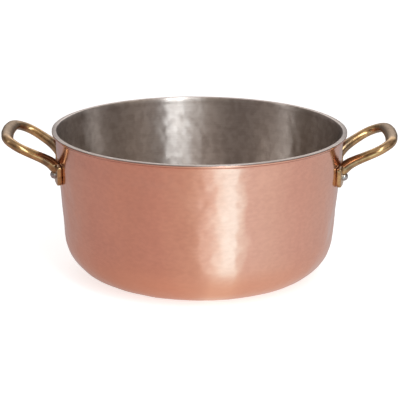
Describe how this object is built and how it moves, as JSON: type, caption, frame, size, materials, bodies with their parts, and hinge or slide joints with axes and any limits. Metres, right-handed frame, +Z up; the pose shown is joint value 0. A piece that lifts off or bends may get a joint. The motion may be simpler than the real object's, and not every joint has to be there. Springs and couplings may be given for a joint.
{
  "type": "copper jam pan",
  "caption": "Deep round planished copper pan with a brushed steel lining, a rolled-out lip and upswept brass loop handles riveted to its sides, open on top.",
  "frame": {"origin": "on the pan's axis, in the plane of the underside of its base", "axes": "+Z up along the pan's axis; +X from the axis towards the right handle; +Y to the rear, away from the picture's viewer"},
  "size_m": [0.375, 0.28, 0.1413],
  "materials": {
    "copper": "polished, lightly planished copper",
    "lining_steel": "brushed",
    "handle_brass": "cast and polished",
    "rivet_steel": "satin"
  },
  "bodies": {
    "root": {"copper_shell": "copper", "steel_lining": "lining_steel", "right_handle": "handle_brass", "left_handle": "handle_brass", "right_front_rivet": "rivet_steel", "right_rear_rivet": "rivet_steel", "left_front_rivet": "rivet_steel", "left_rear_rivet": "rivet_steel"}
  },
  "joints": []
}
